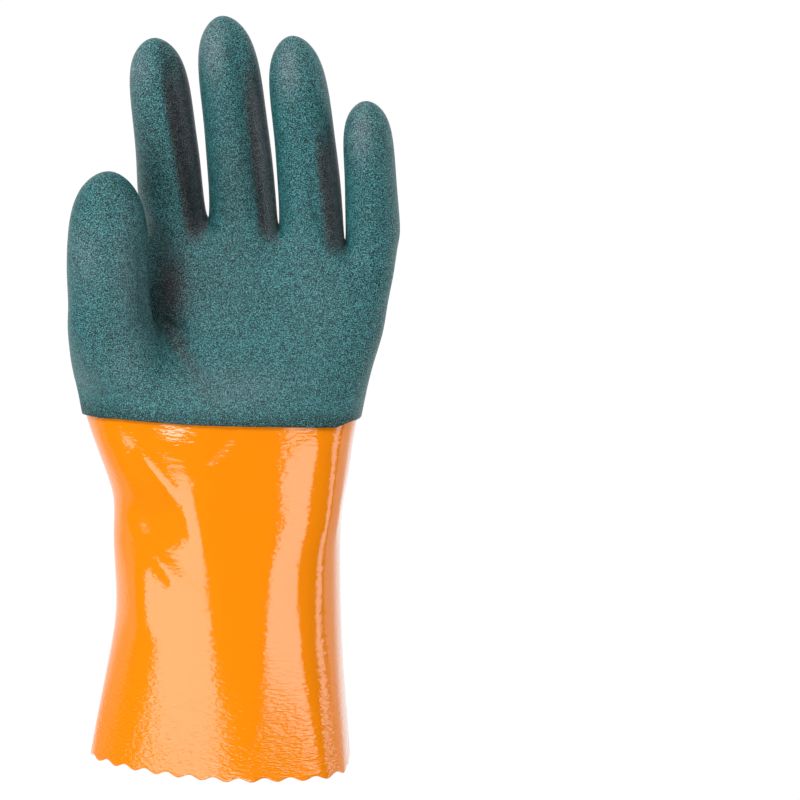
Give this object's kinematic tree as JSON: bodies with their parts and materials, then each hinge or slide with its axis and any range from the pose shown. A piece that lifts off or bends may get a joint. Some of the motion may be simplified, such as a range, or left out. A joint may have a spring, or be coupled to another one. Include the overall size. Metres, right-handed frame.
{
  "type": "dipped industrial work glove, left hand",
  "caption": "Left-hand dipped work glove lying palm up: rough coated hand with hollow fingers, and a glossy flared cuff with a scalloped open rim.",
  "frame": {"origin": "middle of the glove's footprint, on the surface that it lies on", "axes": "+Y from the cuff to the fingertips, +X from the thumb's side to the little finger, +Z out of the palm"},
  "size_m": [0.1316, 0.2988, 0.0707],
  "materials": {
    "hand_coating": "rough, speckled, matte",
    "cuff": "smooth, glossy"
  },
  "bodies": {
    "root": {"hand_coating": "hand_coating", "cuff": "cuff"}
  },
  "joints": []
}
